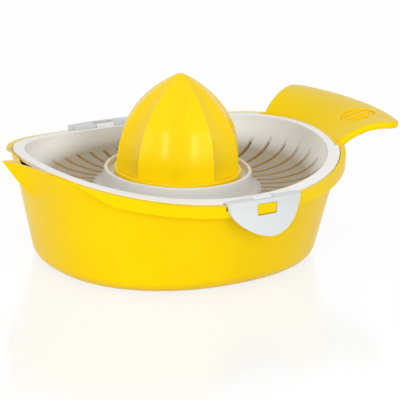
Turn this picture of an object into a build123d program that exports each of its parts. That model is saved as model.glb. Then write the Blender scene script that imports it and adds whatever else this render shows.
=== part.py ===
from build123d import *
import math
import os

os.makedirs("parts", exist_ok=True)

# Citrus juicer: an oval jug-like bowl, a strainer insert held by two snap clips, and a ribbed reamer.
# All lengths in mm. +X runs towards the handle, the spout points to -X, Z is the reamer's axis and
# z = 0 is the table under the bowl.

# --- oval plan, given at the edge of the strainer flange ---
plan_half_length = 84.2
plan_half_width = 73.8
plan_power = 2.2           # 2 is an ellipse, more is squarer
plan_shift = -0.6          # the oval's centre sits behind the reamer's axis
plan_points = 24

# --- rim, a saddle that is high at handle and spout and low at the clips ---
rim_height = 52.5          # flange top, at the reamer's axis
saddle_rise = 5.0          # rise at the ends and fall at the sides, saddle_span out
saddle_span = 80.0
saddle_reach = 140.0       # half size of the saddle surface, past everything it trims

# --- bowl ---
wall = 2.2
wall_lean = 0.212          # sideways per mm of height
rim_inset = 0.2            # outer wall inside the plan, at rim height
base_radius = 8.0
base_thickness = 2.6
foot_width = 9.0
foot_groove = 3.0          # shallow ring groove under the base
foot_groove_depth = 0.8
band_proud = 3.1           # rim band outside the plan
band_height = 6.1
band_drop = 0.3            # band top under the flange top
seat_gap = 0.4             # round the flange
seat_clearance = 0.3       # under the flange

# --- spout ---
spout_low = 37.5           # the keel leaves the wall here
spout_top = 66.0
spout_reach = 17.3         # keel beyond the wall, at spout_top
spout_bow = 0.82           # 1 is a straight keel, less bows it outwards
spout_fall_low = 3.5       # distance in which the sides fall back to the wall, at spout_low
spout_fall_high = 7.6      # the same at spout_top
spout_flare = 3.8          # broad swelling of the wall on both sides, at spout_top
spout_half_width = 60.0    # the swelling ends here
spout_root = 0.6           # depth of the sides' ends in the wall
spout_skin = 2.4
spout_inside = 8.0         # how far the spout's block reaches into the bowl
spout_points = 9
spout_crowding = 1.8       # points sit closer near the keel
spout_levels = 4
lip_height = 57.1          # lip where it meets the rim
lip_slope = 0.27
lip_start = -84.0
band_end_low = (47.0, 55.0)    # half widths where the band is gone and where it is full, at its bottom
band_end_high = (12.0, 22.0)   # the same, above the rim's ends

# --- handle, a sector of a flared ring with an arched section ---
handle_angle = 47.0
handle_root = 84.3
handle_end = 117.7
handle_crest = 109.3
handle_top = 67.1
handle_arch = 36.0
handle_thickness = 3.6
handle_corner = 8.0
handle_edge = 1.2
root_radius = 82.1         # shelf between handle and flange
root_angle = 49.4
grip_radius = 101.0        # round grip recess on the handle
grip_angle = -11.6
grip_size = 9.2
grip_depth = 0.8
grip_rib_width = 1.8
grip_rib_pitch = 4.4
grip_rib_length = 9.0
grip_rib_middle = 12.6

# --- strainer ---
flange_thickness = 2.0
floor_height = 35.5
sheet = 1.9
# inner face of the basin: share of the way from floor to rim, distance inside the plan
basin_shape = ((0.0, 30.0), (0.13, 18.0), (0.3, 12.0), (0.52, 8.2), (0.86, 6.0), (1.55, 4.6))
deck_height = 41.8         # the reamer stands on it
collar_height = 45.0
collar_radius = 37.8
collar_wall = 1.8
collar_foot = 41.8
collar_edge = 0.45
collar_lap = 1.5           # overlap of collar foot and basin floor
boss_radius = 19.0
boss_height = 55.0
boss_draft = 1.0
slot_count = 44
slot_width = 2.1
slot_start = 43.2
slot_half_length = 78.0
slot_half_width = 60.0
slot_reach = 15.0          # above and below the floor

# --- reamer ---
reamer_radius = 32.4
reamer_foot = 32.8
reamer_foot_height = 3.4
reamer_foot_round = 0.8
reamer_tip = 94.7
ridge_count = 10
ridge_turn = -17.3         # first ridge from +X, degrees
panel_depth = 0.91         # middle of a panel, as a share of the ridge radius
dome_power = 2.5
dome_round = 0.88
dome_levels = (0, 0.15, 0.3, 0.45, 0.6, 0.72, 0.82, 0.9, 0.96, 0.988)
cavity_levels = 7          # the hollow stops at this level
reamer_wall = 2.2
key_width = 4.0            # tooth on the deck that stops the reamer from turning
key_height = 3.0
key_inner = 30.8
key_clearance = 0.3

# --- clips and their hinges ---
hinge_out = 74.0           # hinge axis, out from the reamer's axis
hinge_height = 48.2
bar_radius = 1.0
bore_clearance = 0.07
hook_radius = 1.8
hook_width = 11.0
hook_lap = 0.8             # how far the hook's arm reaches into the flange
notch_clearance = 0.4
flange_cut = 71.3          # flange ends here beside the clips
clip_width = 41.2
clip_top = 50.2
clip_ledge = 2.2
clip_bottom = 33.4
clip_shoulder = 48.0       # below it the flap narrows
clip_power = 1.8
clip_points = 12
knuckle_short = 1.5        # knuckle ends inside the clip's ends
flap_inner = 77.2
flap_thickness = 2.3
flap_curve = 130.0
flap_flare = 6.0           # the flap's lower edge stands out for a finger
flare_start = 46.0
flare_hold = 0.35          # share of the flared height over which the flap stays upright
window_width = 11.6
window_low = 42.5
window_high = 48.3
window_corner = 0.8
lug_gap = 0.3              # round the lug in its window
lug_back = 0.3             # lug's upper face in front of the hook
lug_inset = 0.3            # lug's face behind the flap's face
swing_radius = 7.6         # what is below the window clears this radius round the hinge
recess_floor = 45.6        # band lowered under the hinge
recess_margin = 0.6
recess_start = 71.4
lug_root = 3.0


def plan_wire(inset, z, half_length=plan_half_length, half_width=plan_half_width):
    """Closed outline of the oval plan, moved inwards by inset."""
    a = half_length - inset
    b = half_width - inset
    points = []
    for k in range(plan_points):
        t = 2 * math.pi * k / plan_points
        share = (abs(math.cos(t)) / a) ** plan_power + (abs(math.sin(t)) / b) ** plan_power
        r = share ** (-1 / plan_power)
        points.append((plan_shift + r * math.cos(t), r * math.sin(t), z))
    return Wire([Edge.make_spline([Vector(*p) for p in points], periodic=True)])


def plan_prism(inset, low, high, **sizes):
    return Solid.extrude(Face(plan_wire(inset, low, **sizes)), Vector(0, 0, high - low))


def saddle_slab(low, high):
    """Everything between the saddle surface at height low and the same surface at height high."""
    scale = saddle_rise / saddle_span ** 2
    square = [saddle_reach ** 2, -saddle_reach ** 2, saddle_reach ** 2]
    across = [-saddle_reach, 0, saddle_reach]
    grid = [
        [Vector(across[i], across[j], low + scale * (square[i] - square[j])) for j in range(3)]
        for i in range(3)
    ]
    return Solid.extrude(Face.make_bezier_surface(grid), Vector(0, 0, high - low))


def sector(inner, outer, angle, low, high):
    """Upright ring about the reamer's axis, cut to an angle that is centred on the handle."""
    corners = [(inner, 0, low), (outer, 0, low), (outer, 0, high), (inner, 0, high)]
    face = Face(Wire.make_polygon([Vector(*corner) for corner in corners]))
    return Rot(0, 0, -angle / 2) * Solid.revolve(face, angle, Axis.Z)


def wall_inset(z):
    return rim_inset + wall_lean * (rim_height - z)


def body_loft(skin, low, corner):
    """Leaning wall of the bowl from low up past the rim, its bottom edge rounded."""
    top = rim_height + 4 * saddle_rise
    lower = plan_wire(wall_inset(low) + skin, low)
    upper = plan_wire(wall_inset(top) + skin, top)
    solid = Solid.make_loft([lower, upper], True)
    bottom = solid.edges().sort_by(Axis.Z)[0]
    return solid.fillet(corner, [bottom])


def plan_x(inset, y):
    """Where the spout side of the oval lies, y away from its long axis."""
    share = abs(y) / (plan_half_width - inset)
    return plan_shift - (plan_half_length - inset) * (1 - share ** plan_power) ** (1 / plan_power)


def beak_wire(share, skin):
    """One level of the spout: a keel whose hollow sides fall back to the gently swollen wall."""
    z = spout_low + share * (spout_top - spout_low)
    fall = spout_fall_low + share * (spout_fall_high - spout_fall_low)
    reach = (spout_reach + spout_root / 2) * share ** spout_bow - spout_root / 2 - 2 * skin
    root = spout_root + skin
    flare = spout_flare * share
    side = []
    for k in range(spout_points):
        y = spout_half_width * (k / (spout_points - 1)) ** spout_crowding
        keel = (reach + root - flare) * math.exp(-y / fall)
        swell = flare * math.cos(math.pi * y / spout_half_width / 2) ** 2
        side.append((plan_x(wall_inset(z), y) + root - keel - swell, y))
    end = side[-1][0]
    inner = end + spout_inside
    left = Edge.make_spline([Vector(x, y, z) for x, y in side])
    right = Edge.make_spline([Vector(x, -y, z) for x, y in reversed(side)])
    back = Wire.make_polygon(
        [
            Vector(end, -spout_half_width, z),
            Vector(inner, -spout_half_width, z),
            Vector(inner, spout_half_width, z),
            Vector(end, spout_half_width, z),
        ],
        close=False,
    )
    return Wire([left, right] + back.edges())


def spout_loft(skin):
    first = 2 * skin / (spout_top - spout_low)
    shares = [first + (1 - first) * k / (spout_levels - 1) for k in range(spout_levels)]
    return Solid.make_loft([beak_wire(share, skin) for share in shares], False)


def band_gap():
    """Wedge that fades the rim band out on both sides of the spout."""
    far = -2 * plan_half_length
    ends = ((rim_height - band_height, band_end_low), (rim_height + 2 * saddle_rise, band_end_high))
    levels = []
    for z, (gone, full) in ends:
        side = [(plan_x(wall_inset(z) + spout_root, gone), gone), (plan_x(-band_proud, full), full), (far, full)]
        corners = side + [(x, -y) for x, y in reversed(side)]
        levels.append(Wire.make_polygon([Vector(x, y, z) for x, y in corners]))
    return Solid.make_loft(levels, True)


def under_lip():
    """Side view of everything under the spout's sloping lip."""
    far = -2 * plan_half_length
    below = -base_radius
    outline = Polyline(
        (far, below),
        (far, lip_height + lip_slope * (lip_start - far)),
        (lip_start, lip_height),
        (0, lip_height + lip_slope * lip_start),
        (0, below),
        close=True,
    )
    return extrude(Plane.XZ * make_face(outline), amount=2 * plan_half_width, both=True)


def ring_sector(inner, outer, root, end, angle):
    """Arched section between two radii, turned about the reamer's axis."""
    centre = handle_top - handle_arch

    def height(radius, r):
        return centre + math.sqrt(radius ** 2 - (r - handle_crest) ** 2)

    def across(radius, r):
        return (r, 0, height(radius, r))

    def arc(radius):
        middle = (root + end) / 2
        return Edge.make_three_point_arc(across(radius, root), across(radius, middle), across(radius, end))

    sides = [
        Edge.make_line(across(outer, end), across(inner, end)),
        Edge.make_line(across(inner, root), across(outer, root)),
    ]
    face = Face(Wire([arc(outer), sides[0], arc(inner), sides[1]]))
    return Rot(0, 0, -angle / 2) * Solid.revolve(face, angle, Axis.Z)


def handle():
    body = ring_sector(handle_arch - handle_thickness, handle_arch, handle_root, handle_end, handle_angle)
    far = [e for e in body.edges() if math.hypot(e.center().X, e.center().Y) > handle_end - handle_edge]
    corners = [e for e in far if e.length < 2 * handle_thickness]
    body = body.fillet(handle_corner, corners)
    far = [e for e in body.edges() if math.hypot(e.center().X, e.center().Y) > handle_end - handle_corner]
    rims = [e for e in far if e.length > 2 * handle_thickness and abs(e.center().Y) < 1]
    return body.fillet(handle_edge, rims)


def grip():
    """Round recess on the handle with three short ribs left standing."""
    tall = handle_top
    skin = ring_sector(
        handle_arch - grip_depth, handle_arch + handle_thickness, handle_root, handle_end - handle_edge, handle_angle
    )
    drill = Cylinder(grip_size, tall)
    for k in (-1, 0, 1):
        rib = SlotOverall(grip_rib_length if k else grip_rib_middle, grip_rib_width)
        drill -= Pos(0, k * grip_rib_pitch, -tall / 2) * extrude(rib, amount=tall)
    lean = math.degrees(math.asin((handle_crest - grip_radius) / handle_arch))
    place = Rot(0, 0, grip_angle) * Pos(grip_radius, 0, handle_top) * Rot(0, -lean, 0)
    return skin & (place * drill)


def hinge_bar(radius, length):
    return Pos(0, -hinge_out, hinge_height) * Rot(0, 90, 0) * Cylinder(radius, length)


def lug():
    """Snap lug that fills the clip's window, rounded to let the clip swing past."""
    back = -flap_inner + lug_back
    root = -recess_start - lug_root
    face = -flap_inner - flap_thickness + lug_inset
    low = window_low + lug_gap
    high = window_high - lug_gap
    outline = Polyline(
        (root, low),
        (face, low),
        (face, high),
        (back, high),
        (back, recess_floor),
        (root, recess_floor),
        close=True,
    )
    width = window_width - 2 * lug_gap
    block = extrude(Plane.YZ * make_face(outline), amount=width / 2, both=True)
    return block & hinge_bar(swing_radius - lug_gap, width + 1)


def both_sides(solid):
    return [solid, Rot(0, 0, 180) * solid]


def bowl():
    rim = rim_height - band_drop
    seat = rim_height - flange_thickness - seat_clearance
    low = floor_height
    high = 2 * rim_height
    body = body_loft(0, 0, base_radius) & saddle_slab(-rim_height, rim)
    band = plan_prism(-band_proud, low, high) & saddle_slab(rim_height - band_height, rim)
    band -= band_gap()
    body = body + band + (spout_loft(0) & under_lip()) + handle()
    body -= body_loft(wall, base_thickness, base_radius - wall)
    body -= spout_loft(spout_skin)
    body -= plan_prism(-seat_gap, low, high) & saddle_slab(seat, high)
    shelf = sector(root_radius, handle_root + seat_gap, root_angle, low, high)
    body += shelf & saddle_slab(seat - seat_gap, rim)
    recess = Box(
        clip_width + 2 * recess_margin, recess_start, rim_height, align=(Align.CENTER, Align.MAX, Align.MIN)
    )
    for cut in both_sides(Pos(0, -recess_start, recess_floor) * recess):
        body -= cut
    for tooth in both_sides(lug()):
        body += tooth
    ring = wall_inset(0) + base_radius + foot_width
    groove = plan_prism(ring, -1, foot_groove_depth) - plan_prism(ring + foot_groove, -2, 2)
    return body - groove - grip()


def basin(depth):
    """Solid under the basin's inner face, moved out through the sheet by depth."""
    levels = [(floor_height + share * (rim_height - floor_height), inset) for share, inset in basin_shape]
    wires = []
    for k, (z, inset) in enumerate(levels):
        before = levels[max(k - 1, 0)]
        after = levels[min(k + 1, len(levels) - 1)]
        rise = after[0] - before[0]
        run = before[1] - after[1]
        slant = math.hypot(rise, run)
        wires.append(plan_wire(inset - depth * rise / slant, z - depth * run / slant))
    return Solid.make_loft(wires, False)


def collar():
    """Raised ring, the deck inside it and the boss that the reamer fits over."""
    under = deck_height - sheet
    inner = collar_radius - collar_wall
    spread = collar_foot - collar_radius
    tall = collar_height - floor_height
    outline = Polyline(
        (0, deck_height),
        (inner, deck_height),
        (inner, collar_height - collar_edge),
        (inner + collar_edge, collar_height),
        (collar_radius - collar_edge, collar_height),
        (collar_radius, collar_height - collar_edge),
        (collar_radius + 0.15 * spread, floor_height + 0.5 * tall),
        (collar_radius + 0.35 * spread, floor_height + 0.2 * tall),
        (collar_radius + 0.6 * spread, floor_height + 0.07 * tall),
        (collar_foot, floor_height),
        (collar_foot, floor_height - sheet),
        (collar_foot - sheet, floor_height - sheet),
        (inner + spread / 4, under - sheet / 2),
        (inner, under),
        (0, under),
        close=True,
    )
    ring = revolve(Plane.XZ * make_face(outline), Axis.Z)
    stand = (Align.CENTER, Align.CENTER, Align.MIN)
    boss = Pos(0, 0, under) * Cone(boss_radius + boss_draft, boss_radius, boss_height - under, align=stand)
    low = under - collar_edge
    hollow = Pos(0, 0, low) * Cone(
        boss_radius + boss_draft - sheet, boss_radius - sheet, boss_height - sheet - low, align=stand
    )
    return ring + boss - hollow


def key(gap, low, high):
    """Radial tooth inside the collar, midway between two ridges."""
    inner = key_inner - gap
    tooth = Pos(inner, 0, low) * Box(
        collar_radius - collar_wall / 2 - inner,
        key_width + 2 * gap,
        high - low,
        align=(Align.MIN, Align.CENTER, Align.MIN),
    )
    return Rot(0, 0, ridge_turn + 1.5 * 360 / ridge_count) * tooth


def slots():
    reach = plan_half_length
    bar = Pos((slot_start + reach) / 2, 0, floor_height) * Box(reach - slot_start, slot_width, 2 * slot_reach)
    bars = [Rot(0, 0, 360 / slot_count * k) * bar for k in range(slot_count)]
    oval = plan_prism(
        0,
        floor_height - slot_reach,
        floor_height + slot_reach,
        half_length=slot_half_length,
        half_width=slot_half_width,
    )
    return [oval & one for one in bars]


def hook():
    """Hinge hook on the flange's edge, round the clip's bar."""
    eye = hinge_bar(hook_radius, hook_width)
    edge = rim_height - saddle_rise * (plan_half_width / saddle_span) ** 2
    arm = Pos(0, -hinge_out, edge) * Box(
        hook_width,
        hinge_out - flange_cut + hook_lap,
        flange_thickness - seat_clearance,
        align=(Align.CENTER, Align.MIN, Align.MAX),
    )
    return eye + arm


def strainer():
    low = floor_height
    high = 2 * rim_height
    flange = plan_prism(0, low, high) & saddle_slab(rim_height - flange_thickness, rim_height)
    knuckle_room = Box(
        clip_width + recess_margin, flange_cut, rim_height, align=(Align.CENTER, Align.MAX, Align.CENTER)
    )
    for cut in both_sides(Pos(0, -flange_cut, rim_height) * knuckle_room):
        flange -= cut
    flange -= sector(root_radius - seat_gap, high, root_angle + 2 * seat_gap, low, high)
    body = (basin(sheet) & saddle_slab(-rim_height, rim_height)) + flange
    for one in both_sides(hook()):
        body += one
    body -= basin(0)
    body -= Cylinder(collar_foot - collar_lap, 2 * high)
    body += collar()
    body += key(0, deck_height - sheet / 2, deck_height + key_height)
    for one in both_sides(hinge_bar(bar_radius + bore_clearance, hook_width + 2)):
        body -= one
    for one in slots():
        body -= one
    return body


def dome(share):
    return (1 - share ** dome_power) ** dome_round


def ridge_wire(radius, z):
    """Ridges joined by shallow hollows, seen from above."""

    def at(r, turn):
        t = math.radians(ridge_turn + turn)
        return (r * math.cos(t), r * math.sin(t), z)

    step = 360 / ridge_count
    edges = []
    for k in range(ridge_count):
        ends = (at(radius, k * step), at(radius, (k + 1) * step))
        edges.append(Edge.make_three_point_arc(ends[0], at(radius * panel_depth, (k + 0.5) * step), ends[1]))
    return Wire(edges)


def reamer():
    base = deck_height + reamer_foot_height
    tall = reamer_tip - base
    cone = Solid.make_loft([ridge_wire(reamer_radius * dome(s), base + s * tall) for s in dome_levels], False)
    foot = Pos(0, 0, deck_height) * Cylinder(
        reamer_foot, reamer_foot_height, align=(Align.CENTER, Align.CENTER, Align.MIN)
    )
    foot = foot.solid().fillet(reamer_foot_round, [foot.edges().sort_by(Axis.Z)[-1]])
    thin = [
        (panel_depth * reamer_radius * dome(s) - reamer_wall, base + s * tall) for s in dome_levels[:cavity_levels]
    ]
    edge = Spline(*thin)
    below = deck_height - 1
    cavity = make_face(
        Polyline((0, thin[-1][1]), (0, below), (thin[0][0], below), thin[0]) + edge + Line(thin[-1], (0, thin[-1][1]))
    )
    notch = key(key_clearance, below, base + 1)
    return foot + cone - revolve(Plane.XZ * cavity, Axis.Z) - notch


def flap_section(r, low, high):
    """Outline of the flap's section at radius r: upright above, flared out below."""
    drop = flare_start - low
    return [(r, high), (r, flare_start), (r, flare_start - flare_hold * drop), (r + flap_flare, low)]


def flap_plate(inner, outer, low, high):
    """Gently curved plate that flares out below flare_start."""
    centre = flap_curve - flap_inner
    a = flap_section(outer + centre, low, high)
    b = flap_section(inner + centre, low, high)
    face = make_face(Line(a[0], a[1]) + Bezier(*a[1:]) + Line(a[3], b[3]) + Bezier(*b[1:]) + Polyline(b[1], b[0], a[0]))
    return Pos(0, centre, 0) * revolve(Plane.XZ * face, Axis.Z)


def clip():
    half = clip_width / 2
    tall = clip_shoulder - clip_bottom
    outer = flap_inner + flap_thickness
    curve = []
    for k in range(clip_points + 1):
        t = math.pi * k / clip_points
        across = math.copysign(abs(math.cos(t)) ** (2 / clip_power), -math.cos(t))
        curve.append((half * across, clip_shoulder - tall * abs(math.sin(t)) ** (2 / clip_power)))
    outline = make_face(
        Polyline((-half, clip_shoulder), (-half, clip_top), (half, clip_top), (half, clip_shoulder)) + Spline(*curve)
    )
    front = extrude(Plane.XZ * outline, amount=2 * outer)
    plate = flap_plate(flap_inner, outer, clip_bottom, clip_top) & front
    ledge_box = Pos(0, -hinge_out, clip_top) * Box(
        clip_width, outer, clip_ledge, align=(Align.CENTER, Align.MAX, Align.MAX)
    )
    centre = flap_curve - flap_inner
    ledge = ledge_box & (Pos(0, centre, clip_top) * Cylinder(outer + centre, 3 * clip_ledge))
    knuckle = hinge_bar(clip_top - hinge_height, clip_width - 2 * knuckle_short)
    notch = Pos(0, -flap_inner, 0) * Box(
        hook_width + 2 * notch_clearance, outer, 3 * rim_height, align=(Align.CENTER, Align.MIN, Align.CENTER)
    )
    body = plate + ledge + knuckle - notch + hinge_bar(bar_radius, hook_width + 2)
    pane = RectangleRounded(window_width, window_high - window_low, window_corner)
    window = Plane.XZ * Pos(0, (window_low + window_high) / 2) * extrude(pane, amount=2 * outer)
    relief = hinge_bar(swing_radius, window_width) & Pos(0, -outer, window_low) * Box(
        window_width, 2 * flap_thickness, 2 * window_corner, align=(Align.CENTER, Align.CENTER, Align.CENTER)
    )
    return body - window - relief


def save(shape, name):
    solid = shape.solids().sort_by(SortBy.VOLUME)[-1]
    solid.label = name
    export_step(solid, "parts/" + name + ".step")


save(bowl(), "bowl")
save(strainer(), "strainer")
save(reamer(), "reamer")
save(clip(), "front_clip")
save(Rot(0, 0, 180) * clip(), "rear_clip")
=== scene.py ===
import bpy
from mathutils import Matrix, Vector


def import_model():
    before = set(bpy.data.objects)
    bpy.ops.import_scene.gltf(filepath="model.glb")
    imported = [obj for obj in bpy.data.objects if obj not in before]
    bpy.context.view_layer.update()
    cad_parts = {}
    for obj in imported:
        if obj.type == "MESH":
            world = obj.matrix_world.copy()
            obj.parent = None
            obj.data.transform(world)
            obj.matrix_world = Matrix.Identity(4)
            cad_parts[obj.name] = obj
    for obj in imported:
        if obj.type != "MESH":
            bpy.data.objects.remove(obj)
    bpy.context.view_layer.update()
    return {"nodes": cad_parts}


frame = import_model()
nodes = frame["nodes"]

# --- camera: a long lens a metre away, looking down at about 18 degrees ---
CAMERA_AT = (-0.52305, -0.79701, 0.3297)
CAMERA_RIGHT = Vector((0.83469, -0.54963, 0.03460)).normalized()
CAMERA_FORWARD = Vector((0.53295, 0.79035, -0.30218)).normalized()
CAMERA_NEAR = 0.01
SENSOR = 36.0
LENS = 174.6

# --- colours, linear ---
YELLOW = (0.95, 0.66, 0.0005)
YELLOW_DEEP = (0.90, 0.60, 0.0004)
REAMER_YELLOW = (0.98, 0.68, 0.0005)
REAMER_DEEP = (0.91, 0.60, 0.0004)
RIM_WHITE = (0.93, 0.93, 0.93)
RIM_DEEP = [0.97 * part for part in RIM_WHITE]
# painted shade: the basin's darker, warmer tone stands in for shade and yellow bounce light from the bowl
# beneath
BASIN_PAINTED_SHADE = (0.43, 0.37, 0.27)
BASIN_PAINTED_SHADE_DEEP = [0.94 * part for part in BASIN_PAINTED_SHADE]
# painted light: amber on the slots' sides stands in for yellow light from inside the bowl
SLOT_PAINTED_GLOW = (0.62, 0.41, 0.13)
CLIP_WHITE = (0.70, 0.73, 0.74)
CLIP_DEEP = (0.67, 0.70, 0.71)
FLOOR_WHITE = (0.72, 0.72, 0.71)
LIGHT_WHITE = (1, 1, 1)

# --- tints of the gloss ---
YELLOW_SHEEN = (1.0, 0.82, 0.2)
REAMER_SHEEN = (1.0, 0.9, 0.5)
WHITE_SHEEN = (1, 1, 1)

# --- gloss: least and most roughness, and the strength of the mirror-like part ---
PLASTIC_GLOSS = (0.28, 0.36)
PLASTIC_SPECULAR = 0.2
REAMER_GLOSS = (0.16, 0.2)
REAMER_SPECULAR = 0.3

# --- noises of the plastic: scale per metre and detail ---
CLOUDS = (28.0, 3.0)
PEEL = (190.0, 2.0)
GRAIN = (2600.0, 3.0)
NOISE_WINDOW = (0.3, 0.7)
CLOUD_DEPTH = 0.6

# --- bumps: strength, and height in metres ---
PEEL_BUMP = (0.25, 0.00006)
GRAIN_BUMP = (0.3, 0.00001)

# --- strainer: half length and half width of its plan, and the radius of the collar's foot, in metres ---
PLAN_HALVES = (0.0842, 0.0738)
COLLAR_HALVES = (0.0418, 0.0418)

# --- where its tone changes from the white rim and collar to the basin's painted shade, as shares of those sizes ---
RIM_FADE = (0.84, 0.94)
COLLAR_FADE = (0.93, 1.06)
COLLAR_WHITENESS = 0.75

# --- how squarely a face looks round the reamer's axis before it counts as a slot's side ---
SLOT_FACING = (0.55, 0.85)

# --- floor ---
FLOOR_SIZE = 6.0
FLOOR_GLOW = 1.11
FLOOR_GLOW_SHARE = 0.85
FLOOR_MIRROR_SHARE = 0.16
FLOOR_MIRROR_ROUGHNESS = 0.16

# --- lights: softboxes by place, width, height and power, in metres and watts ---
WORLD_LIGHT = 0.68
WORLD_SEEN = 1.0
LAMP_AIM = (0.0, 0.0, 0.05)
SOFTBOXES = {
    "front": ((-0.75, -1.15, 0.55), 1.5, 0.8, 6.0),
    "left": ((-1.2, -0.17, 0.42), 0.2, 0.7, 2.9),
    "right": ((-0.05, -1.25, 0.42), 0.2, 0.7, 2.9),
}


class Tree:
    """Node tree with short calls for adding and linking nodes."""

    def __init__(self, graph):
        self.graph = graph
        graph.nodes.clear()

    def add(self, kind, **settings):
        node = self.graph.nodes.new(kind)
        for name, value in settings.items():
            setattr(node, name, value)
        return node

    def link(self, out, into):
        self.graph.links.new(out, into)


def opaque(colour):
    return (*colour, 1)


def noise(tree, where, scale, detail):
    node = tree.add("ShaderNodeTexNoise")
    node.inputs["Scale"].default_value = scale
    node.inputs["Detail"].default_value = detail
    tree.link(where.outputs["Object"], node.inputs["Vector"])
    return node.outputs["Fac"]


def remap(tree, value, window, low=0.0, high=1.0):
    """Low to high over the window, and level on either side of it."""
    node = tree.add("ShaderNodeMapRange")
    node.inputs["From Min"].default_value = window[0]
    node.inputs["From Max"].default_value = window[1]
    node.inputs["To Min"].default_value = low
    node.inputs["To Max"].default_value = high
    tree.link(value, node.inputs["Value"])
    return node.outputs["Result"]


def cloudy(tree, where, light, deep):
    """Two near tones in soft clouds, as in moulded plastic."""
    tone = tree.add("ShaderNodeMix", data_type="RGBA")
    tone.inputs["A"].default_value = opaque(light)
    tone.inputs["B"].default_value = opaque(deep)
    clouds = noise(tree, where, *CLOUDS)
    tree.link(remap(tree, clouds, NOISE_WINDOW, high=CLOUD_DEPTH), tone.inputs["Factor"])
    return tone.outputs["Result"]


def two_tone(light, deep):
    return lambda tree, where: cloudy(tree, where, light, deep)


def reach(tree, where, half_length, half_width):
    """Distance from the reamer's axis, as a share of an oval's size."""
    scaled = tree.add("ShaderNodeVectorMath", operation="MULTIPLY")
    scaled.inputs[1].default_value = (1 / half_length, 1 / half_width, 0)
    tree.link(where.outputs["Object"], scaled.inputs[0])
    size = tree.add("ShaderNodeVectorMath", operation="LENGTH")
    tree.link(scaled.outputs["Vector"], size.inputs[0])
    return size.outputs["Value"]


def slot_sides(tree, where):
    """1 on faces that look round the reamer's axis, which are mainly the slots' sides."""
    around = tree.add("ShaderNodeVectorMath", operation="CROSS_PRODUCT")
    around.inputs[1].default_value = (0, 0, 1)
    tree.link(where.outputs["Object"], around.inputs[0])
    unit = tree.add("ShaderNodeVectorMath", operation="NORMALIZE")
    tree.link(around.outputs["Vector"], unit.inputs[0])
    along = tree.add("ShaderNodeVectorMath", operation="DOT_PRODUCT")
    tree.link(unit.outputs["Vector"], along.inputs[0])
    tree.link(where.outputs["Normal"], along.inputs[1])
    size = tree.add("ShaderNodeMath", operation="ABSOLUTE")
    tree.link(along.outputs["Value"], size.inputs[0])
    return remap(tree, size.outputs["Value"], SLOT_FACING)


def strainer_tone(tree, where):
    """White rim and collar; the basin is painted deeper and warmer as painted shade and painted yellow
    bounce light, and its slots' sides get painted amber light.
    """
    rim = remap(tree, reach(tree, where, *PLAN_HALVES), RIM_FADE)
    collar = remap(tree, reach(tree, where, *COLLAR_HALVES), COLLAR_FADE, low=COLLAR_WHITENESS, high=0.0)
    # 1 on the white rim and collar, 0 on the basin, which gets the painted shade
    unshaded_share = tree.add("ShaderNodeMath", operation="MAXIMUM")
    tree.link(rim, unshaded_share.inputs[0])
    tree.link(collar, unshaded_share.inputs[1])
    basin = tree.add("ShaderNodeMix", data_type="RGBA")
    # the slots' sides get the painted amber light
    basin.inputs["B"].default_value = opaque(SLOT_PAINTED_GLOW)
    tree.link(cloudy(tree, where, BASIN_PAINTED_SHADE, BASIN_PAINTED_SHADE_DEEP), basin.inputs["A"])
    tree.link(slot_sides(tree, where), basin.inputs["Factor"])
    tone = tree.add("ShaderNodeMix", data_type="RGBA")
    tree.link(basin.outputs["Result"], tone.inputs["A"])
    tree.link(cloudy(tree, where, RIM_WHITE, RIM_DEEP), tone.inputs["B"])
    tree.link(unshaded_share.outputs["Value"], tone.inputs["Factor"])
    return tone.outputs["Result"]


def bump(tree, height, strength, distance):
    node = tree.add("ShaderNodeBump")
    node.inputs["Strength"].default_value = strength
    node.inputs["Distance"].default_value = distance
    tree.link(height, node.inputs["Height"])
    return node


def plastic(name, tone, sheen=WHITE_SHEEN, gloss=PLASTIC_GLOSS, specular=PLASTIC_SPECULAR):
    """Moulded polypropylene: cloudy tone, orange-peel gloss and a very fine moulded grain."""
    material = bpy.data.materials.new(name)
    material.use_nodes = True
    tree = Tree(material.node_tree)
    out = tree.add("ShaderNodeOutputMaterial")
    shader = tree.add("ShaderNodeBsdfPrincipled")
    tree.link(shader.outputs["BSDF"], out.inputs["Surface"])
    where = tree.add("ShaderNodeTexCoord")
    tree.link(tone(tree, where), shader.inputs["Base Color"])
    peel = noise(tree, where, *PEEL)
    tree.link(remap(tree, peel, NOISE_WINDOW, *gloss), shader.inputs["Roughness"])
    shader.inputs["Specular IOR Level"].default_value = specular
    shader.inputs["Specular Tint"].default_value = opaque(sheen)
    wave = bump(tree, peel, *PEEL_BUMP)
    fine = bump(tree, noise(tree, where, *GRAIN), *GRAIN_BUMP)
    tree.link(wave.outputs["Normal"], fine.inputs["Normal"])
    tree.link(fine.outputs["Normal"], shader.inputs["Normal"])
    return material


def dress(node, material):
    mesh = nodes[node].data
    mesh.materials.clear()
    mesh.materials.append(material)


def dress_all():
    dress("bowl", plastic("bowl_plastic", two_tone(YELLOW, YELLOW_DEEP), sheen=YELLOW_SHEEN))
    reamer_tone = two_tone(REAMER_YELLOW, REAMER_DEEP)
    dress("reamer", plastic("reamer_plastic", reamer_tone, REAMER_SHEEN, REAMER_GLOSS, REAMER_SPECULAR))
    dress("strainer", plastic("strainer_plastic", strainer_tone))
    clip_plastic = plastic("clip_plastic", two_tone(CLIP_WHITE, CLIP_DEEP))
    for clip in ("front_clip", "rear_clip"):
        dress(clip, clip_plastic)


def seen_directly(tree):
    """1 for rays from the camera, from mirrors and through glass."""
    path = tree.add("ShaderNodeLightPath")
    total = path.outputs["Is Camera Ray"]
    for name in ("Is Glossy Ray", "Is Transmission Ray"):
        both = tree.add("ShaderNodeMath", operation="MAXIMUM")
        tree.link(total, both.inputs[0])
        tree.link(path.outputs[name], both.inputs[1])
        total = both.outputs["Value"]
    return total


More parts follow.
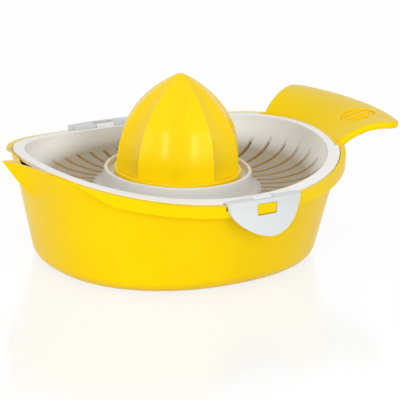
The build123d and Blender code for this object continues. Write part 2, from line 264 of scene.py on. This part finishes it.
def mixed(tree, share, first, second):
    """Mix of two shaders; the share is a number or a socket."""
    mix = tree.add("ShaderNodeMixShader")
    if isinstance(share, float):
        mix.inputs["Fac"].default_value = share
    else:
        tree.link(share, mix.inputs["Fac"])
    tree.link(first, mix.inputs[1])
    tree.link(second, mix.inputs[2])
    return mix.outputs["Shader"]


def floor_material():
    """Matt white with a little polish, and a glow in it that brings it to white where it is seen."""
    material = bpy.data.materials.new("floor_white")
    material.use_nodes = True
    tree = Tree(material.node_tree)
    out = tree.add("ShaderNodeOutputMaterial")
    matt = tree.add("ShaderNodeBsdfDiffuse")
    matt.inputs["Color"].default_value = opaque(FLOOR_WHITE)
    glow = tree.add("ShaderNodeEmission")
    glow.inputs["Strength"].default_value = FLOOR_GLOW
    part = tree.add("ShaderNodeMath", operation="MULTIPLY")
    part.inputs[1].default_value = FLOOR_GLOW_SHARE
    tree.link(seen_directly(tree), part.inputs[0])
    surface = mixed(tree, part.outputs["Value"], matt.outputs["BSDF"], glow.outputs["Emission"])
    mirror = tree.add("ShaderNodeBsdfGlossy")
    mirror.inputs["Roughness"].default_value = FLOOR_MIRROR_ROUGHNESS
    polished = mixed(tree, FLOOR_MIRROR_SHARE, surface, mirror.outputs["BSDF"])
    tree.link(polished, out.inputs["Surface"])
    return material


def floor():
    """Plain white table, which keeps the object's shadow."""
    half = FLOOR_SIZE / 2
    corners = [(-half, -half, 0), (half, -half, 0), (half, half, 0), (-half, half, 0)]
    mesh = bpy.data.meshes.new("floor")
    mesh.from_pydata(corners, [], [(0, 1, 2, 3)])
    mesh.materials.append(floor_material())
    table = bpy.data.objects.new("floor", mesh)
    bpy.context.scene.collection.objects.link(table)


def backdrop(tree, strength):
    shade = tree.add("ShaderNodeBackground")
    shade.inputs["Color"].default_value = opaque(LIGHT_WHITE)
    shade.inputs["Strength"].default_value = strength
    return shade.outputs["Background"]


def world():
    """Soft light from all sides, which shows as white behind the object."""
    made = bpy.data.worlds.new("studio")
    made.use_nodes = True
    bpy.context.scene.world = made
    tree = Tree(made.node_tree)
    out = tree.add("ShaderNodeOutputWorld")
    soft = backdrop(tree, WORLD_LIGHT)
    white = backdrop(tree, WORLD_SEEN)
    tree.link(mixed(tree, seen_directly(tree), soft, white), out.inputs["Surface"])


def softbox(name, at, width, height, power):
    light = bpy.data.lights.new(name, "AREA")
    light.shape = "RECTANGLE"
    light.size = width
    light.size_y = height
    light.energy = power
    lamp = bpy.data.objects.new(name, light)
    lamp.location = at
    lamp.rotation_euler = (Vector(LAMP_AIM) - Vector(at)).to_track_quat("-Z", "Y").to_euler()
    bpy.context.scene.collection.objects.link(lamp)


def camera():
    data = bpy.data.cameras.new("camera")
    data.sensor_width = SENSOR
    data.lens = LENS
    data.clip_start = CAMERA_NEAR
    up = CAMERA_RIGHT.cross(CAMERA_FORWARD)
    turn = Matrix((CAMERA_RIGHT, up, -CAMERA_FORWARD)).transposed().to_4x4()
    made = bpy.data.objects.new("camera", data)
    made.matrix_world = Matrix.Translation(CAMERA_AT) @ turn
    bpy.context.scene.collection.objects.link(made)
    bpy.context.scene.camera = made


dress_all()
floor()
world()
for name, settings in SOFTBOXES.items():
    softbox(name, *settings)
camera()
bpy.context.scene.view_settings.view_transform = "Standard"
